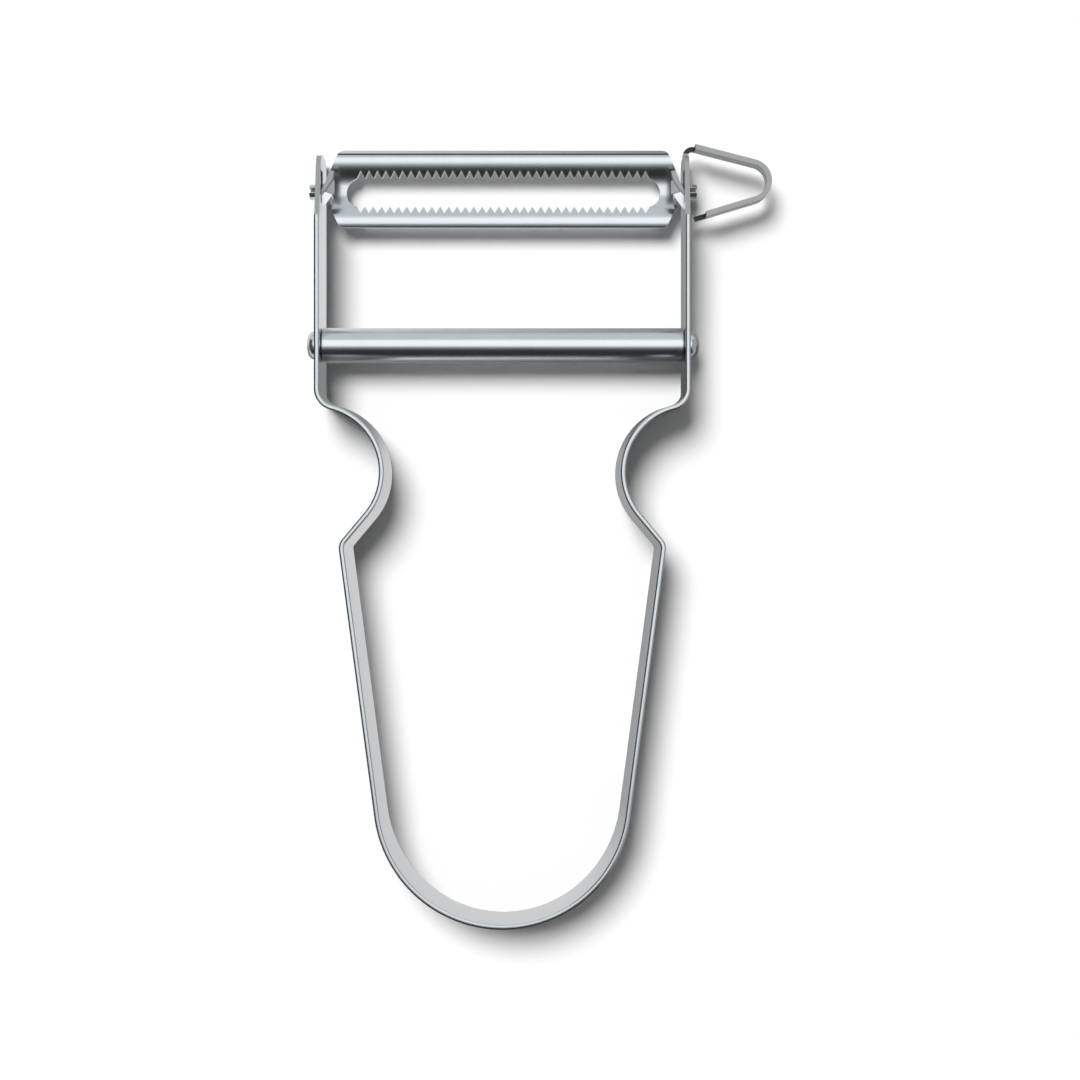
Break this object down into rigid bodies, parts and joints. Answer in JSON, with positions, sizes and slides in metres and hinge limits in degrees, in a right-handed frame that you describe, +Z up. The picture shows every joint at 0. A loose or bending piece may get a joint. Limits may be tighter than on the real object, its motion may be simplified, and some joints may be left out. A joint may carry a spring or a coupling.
{
  "type": "vegetable peeler",
  "caption": "All-steel bow-handled peeler: a bent strip carries a swinging trough blade with two facing saw edges, a tubular crossbar and a looped eye remover.",
  "frame": {"origin": "middle of the strip's thickness at the butt of the handle, on the back edge the peeler lies on", "axes": "+X across the arms towards the eye remover, +Y from the butt of the handle to the blade, +Z up from the back edge to the front of the blade"},
  "size_m": [0.0661, 0.1108, 0.0085],
  "materials": {
    "bow_steel": "polished",
    "blade_steel": "polished",
    "crossbar_steel": "polished",
    "rivet_steel": "polished"
  },
  "bodies": {
    "frame": {"bow": "bow_steel", "crossbar": "crossbar_steel", "through_rivet": "rivet_steel"},
    "blade": {"blade": "blade_steel"}
  },
  "joints": [
    {"name": "blade_swivel", "type": "hinge", "parent": "frame", "child": "blade", "pos_m": [0, 0.10409, 0.00298], "axis": [1, 0, 0], "range_deg": [-25, 25]}
  ]
}
